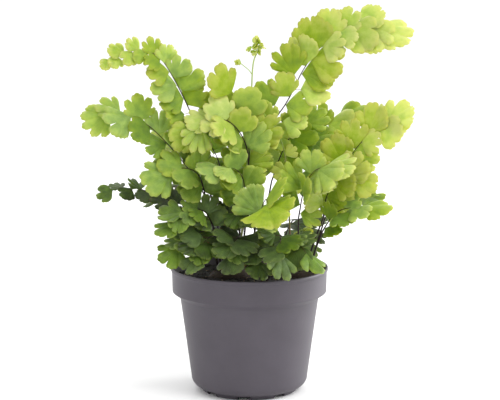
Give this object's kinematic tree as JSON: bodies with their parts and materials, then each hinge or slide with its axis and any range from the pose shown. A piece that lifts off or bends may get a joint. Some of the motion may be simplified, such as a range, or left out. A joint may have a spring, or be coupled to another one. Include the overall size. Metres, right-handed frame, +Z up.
{
  "type": "potted maidenhair fern",
  "caption": "Fan-leaved fern with wiry dark stalks, growing in a round grey plastic nursery pot filled with peat.",
  "frame": {"origin": "centre of the pot's foot, on the surface that the pot stands on", "axes": "+Z up along the pot's axis, -Y towards the front, +X to the right seen from the front"},
  "size_m": [0.2493, 0.1845, 0.2966],
  "materials": {
    "pot_plastic": "matte",
    "peat": "matte",
    "rhizome": "matte",
    "stalk": "satin",
    "leaf": "satin",
    "crozier": "satin"
  },
  "bodies": {
    "root": {"pot": "pot_plastic", "soil": "peat", "rhizome_left": "rhizome", "rhizome_right": "rhizome", "rhizome_back": "rhizome", "tall_left_stalk": "stalk", "tall_left_blade": "leaf", "mid_left_stalk": "stalk", "mid_left_blade": "leaf", "low_left_stalk": "stalk", "low_left_blade": "leaf", "droop_left_stalk": "stalk", "droop_left_blade": "leaf", "back_left_stalk": "stalk", "back_left_blade": "leaf", "centre_arch_stalk": "stalk", "centre_arch_blade": "leaf", "tall_right_stalk": "stalk", "tall_right_blade": "leaf", "right_stalk": "stalk", "right_blade": "leaf", "right_low_stalk": "stalk", "right_low_blade": "leaf", "right_back_stalk": "stalk", "right_back_blade": "leaf", "front_centre_stalk": "stalk", "front_centre_blade": "leaf", "young_stalk": "stalk", "young_blade": "leaf", "middle_stalk": "stalk", "middle_blade": "leaf", "left_middle_stalk": "stalk", "left_middle_blade": "leaf", "right_middle_stalk": "stalk", "right_middle_blade": "leaf", "front_right_stalk": "stalk", "front_right_blade": "leaf", "front_middle_stalk": "stalk", "front_middle_blade": "leaf", "front_left_stalk": "stalk", "front_left_blade": "leaf", "inner_left_stalk": "stalk", "inner_left_blade": "leaf", "side_left_stalk": "stalk", "side_left_blade": "leaf", "side_right_stalk": "stalk", "side_right_blade": "leaf", "back_middle_stalk": "stalk", "back_middle_blade": "leaf", "back_tall_left_stalk": "stalk", "back_tall_left_blade": "leaf", "back_tall_right_stalk": "stalk", "back_tall_right_blade": "leaf", "back_low_left_stalk": "stalk", "back_low_left_blade": "leaf", "back_low_right_stalk": "stalk", "back_low_right_blade": "leaf", "crozier_tall": "crozier", "crozier_small": "crozier"}
  },
  "joints": []
}
